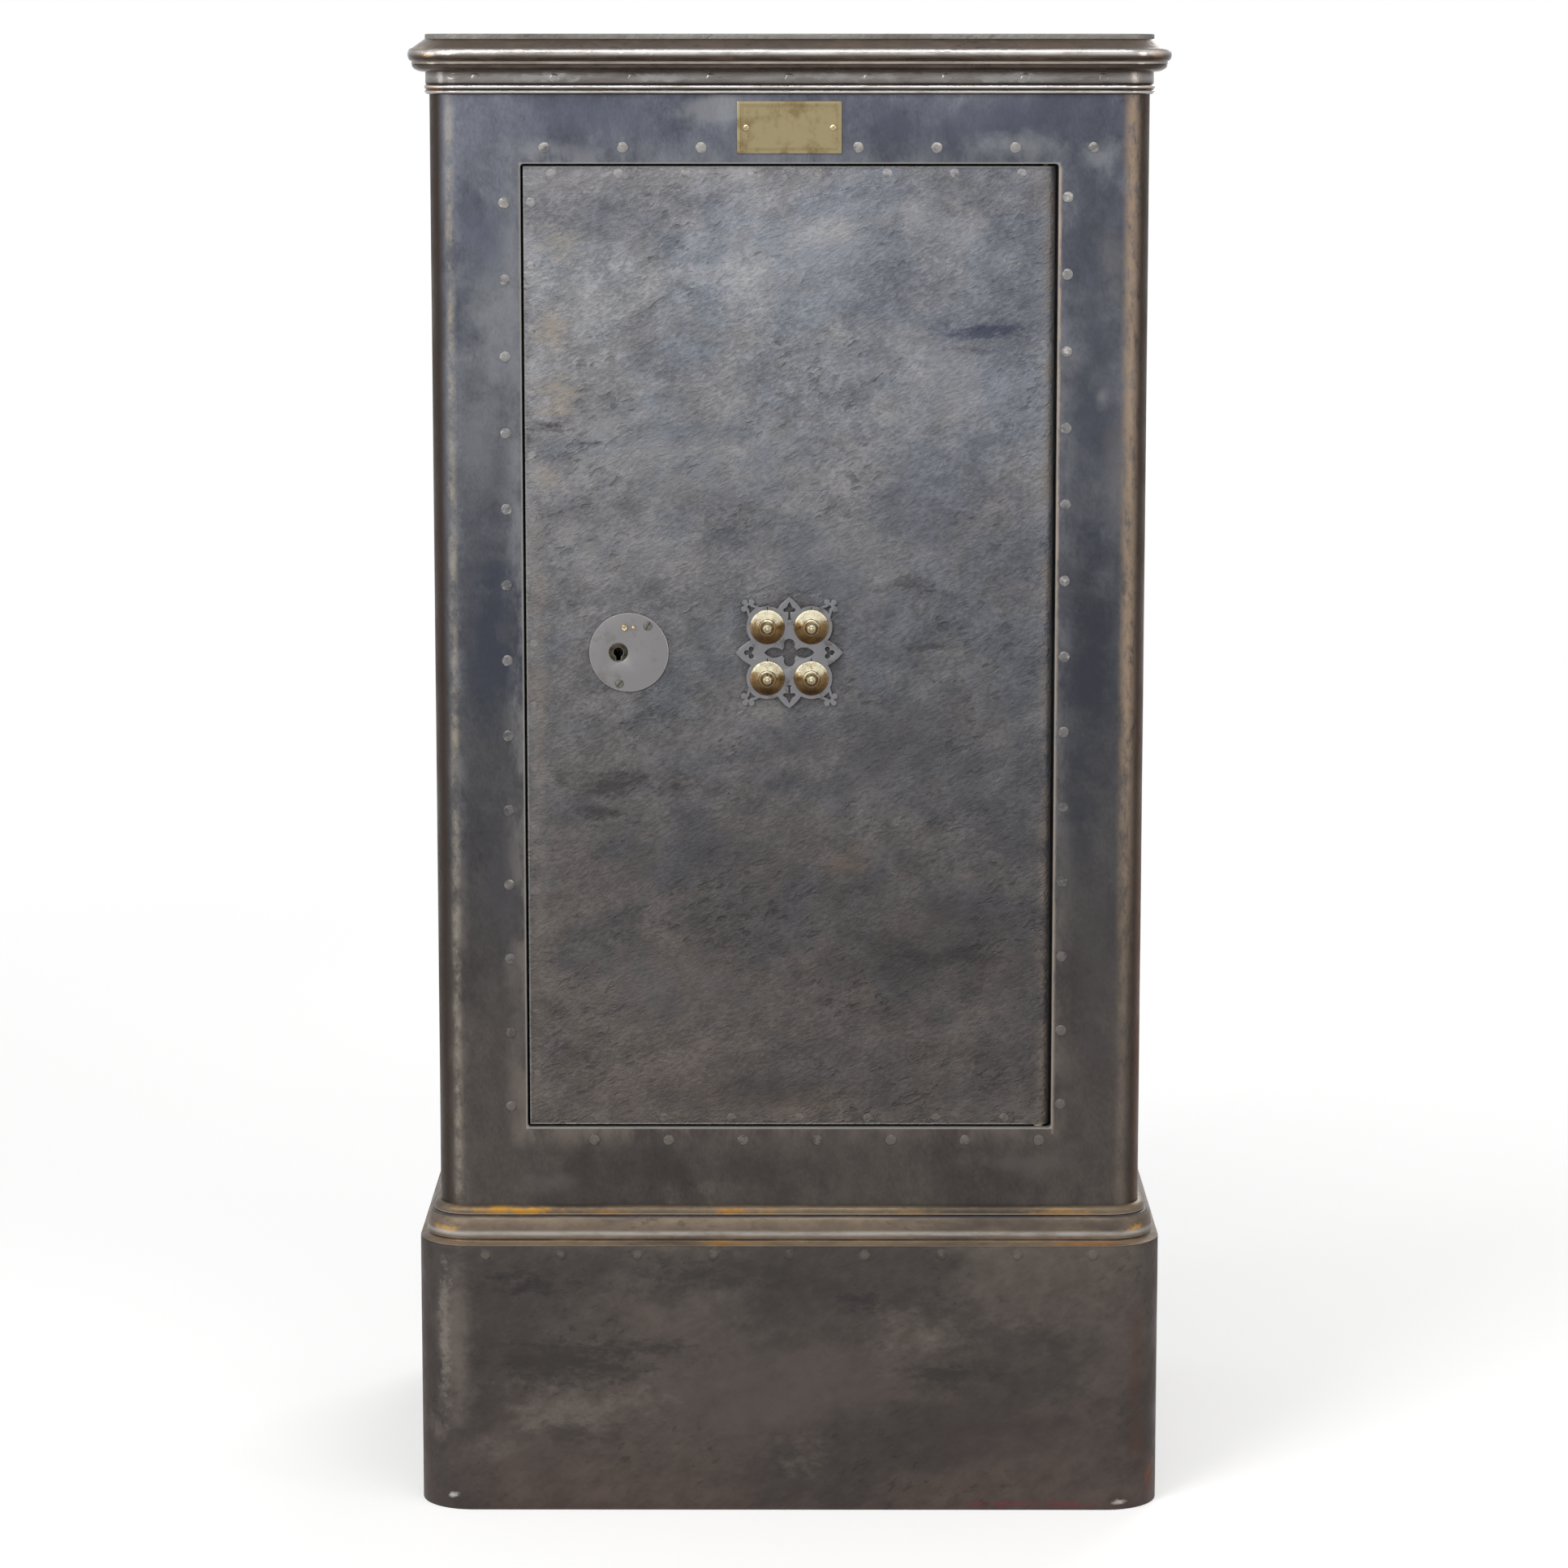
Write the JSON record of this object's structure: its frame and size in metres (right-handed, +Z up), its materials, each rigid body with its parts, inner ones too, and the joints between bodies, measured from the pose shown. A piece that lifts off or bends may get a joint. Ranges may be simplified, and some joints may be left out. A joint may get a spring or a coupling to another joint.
{
  "type": "free-standing safe",
  "caption": "Tall iron fire safe on a moulded plinth: one hinged door with sliding round bolts, a key barrel, dial knobs on a pierced plate, and shelves inside.",
  "frame": {"origin": "middle of the bottom of the bounding box, on the floor", "axes": "+X to the right as seen from the front, +Y away from the viewer towards the flat back, +Z up"},
  "size_m": [0.784, 0.6032, 1.5485],
  "materials": {
    "body_iron": "burnished bare iron, mottled",
    "door_iron": "burnished bare iron with fine pitting",
    "moulding_iron": "polished edges, worn",
    "plinth_iron": "dark burnished iron",
    "satin_steel": "satin",
    "bright_steel": "bright turned",
    "brass": "polished, worn",
    "lining_paint": "satin paint",
    "filling": "packed dry filling"
  },
  "bodies": {
    "casing": {"body_shell": "body_iron", "back_plate": "body_iron", "body_floor": "body_iron", "top_plate": "body_iron", "cornice": "moulding_iron", "foot_bead": "moulding_iron", "plinth_box": "plinth_iron", "plinth_back": "plinth_iron", "plinth_moulding": "moulding_iron", "plinth_deck": "plinth_iron", "jamb_lock_side": "body_iron", "jamb_hinge_side": "body_iron", "jamb_head": "body_iron", "jamb_sill": "body_iron", "pivot_bushes": "brass", "inner_lining": "lining_paint", "fire_filling": "filling", "shelf_upper": "lining_paint", "shelf_lower": "lining_paint", "shelf_battens": "lining_paint", "frame_rivets": "body_iron", "maker_plate": "brass", "plate_screws": "brass"},
    "door": {"door_plate": "door_iron", "door_pan": "door_iron", "door_core": "filling", "hinge_dogs": "satin_steel", "pivot_pins": "bright_steel", "lock_disc": "satin_steel", "lock_studs": "satin_steel", "lock_screws": "satin_steel", "escutcheon": "satin_steel", "bolt_guide": "satin_steel", "rack_keeper": "satin_steel"},
    "dial_upper_left": {"knob_upper_left": "brass", "spindle_upper_left": "bright_steel", "wheel_upper_left": "satin_steel"},
    "dial_upper_right": {"knob_upper_right": "brass", "spindle_upper_right": "bright_steel", "wheel_upper_right": "satin_steel"},
    "dial_lower_left": {"knob_lower_left": "brass", "spindle_lower_left": "bright_steel", "wheel_lower_left": "satin_steel"},
    "dial_lower_right": {"knob_lower_right": "brass", "spindle_lower_right": "bright_steel", "wheel_lower_right": "satin_steel"},
    "carriage": {"bolt_1": "bright_steel", "bolt_2": "bright_steel", "bolt_3": "bright_steel", "bolt_4": "bright_steel", "bolt_nuts": "satin_steel", "carriage_bar": "satin_steel", "rack_bar": "satin_steel", "fence_bar": "satin_steel"},
    "barrel": {"key_barrel": "satin_steel", "pinion": "satin_steel"}
  },
  "joints": [
    {"name": "door_swing", "type": "hinge", "parent": "casing", "child": "door", "pos_m": [0.263, -0.2634, 0.9135], "axis": [0, 0, 1], "range_deg": [0, 95]},
    {"name": "dial_upper_left_turn", "type": "hinge", "parent": "door", "child": "dial_upper_left", "pos_m": [-0.02285, -0.29, 0.9403], "axis": [0, -1, 0], "continuous": true},
    {"name": "dial_upper_right_turn", "type": "hinge", "parent": "door", "child": "dial_upper_right", "pos_m": [0.02285, -0.29, 0.9403], "axis": [0, -1, 0], "continuous": true},
    {"name": "dial_lower_left_turn", "type": "hinge", "parent": "door", "child": "dial_lower_left", "pos_m": [-0.02285, -0.29, 0.8867], "axis": [0, -1, 0], "continuous": true},
    {"name": "dial_lower_right_turn", "type": "hinge", "parent": "door", "child": "dial_lower_right", "pos_m": [0.02285, -0.29, 0.8867], "axis": [0, -1, 0], "continuous": true},
    {"name": "bolt_throw", "type": "slide", "parent": "door", "child": "carriage", "axis": [-1, 0, 0], "range_m": [0, 0.028]},
    {"name": "key_turn", "type": "hinge", "parent": "door", "child": "barrel", "pos_m": [-0.1776, -0.25, 0.9135], "axis": [0, -1, 0], "range_deg": [0, 114.6]}
  ],
  "couplings": [
    {"joint": "key_turn", "follows": "bolt_throw", "rad_per_m": 71.429}
  ]
}
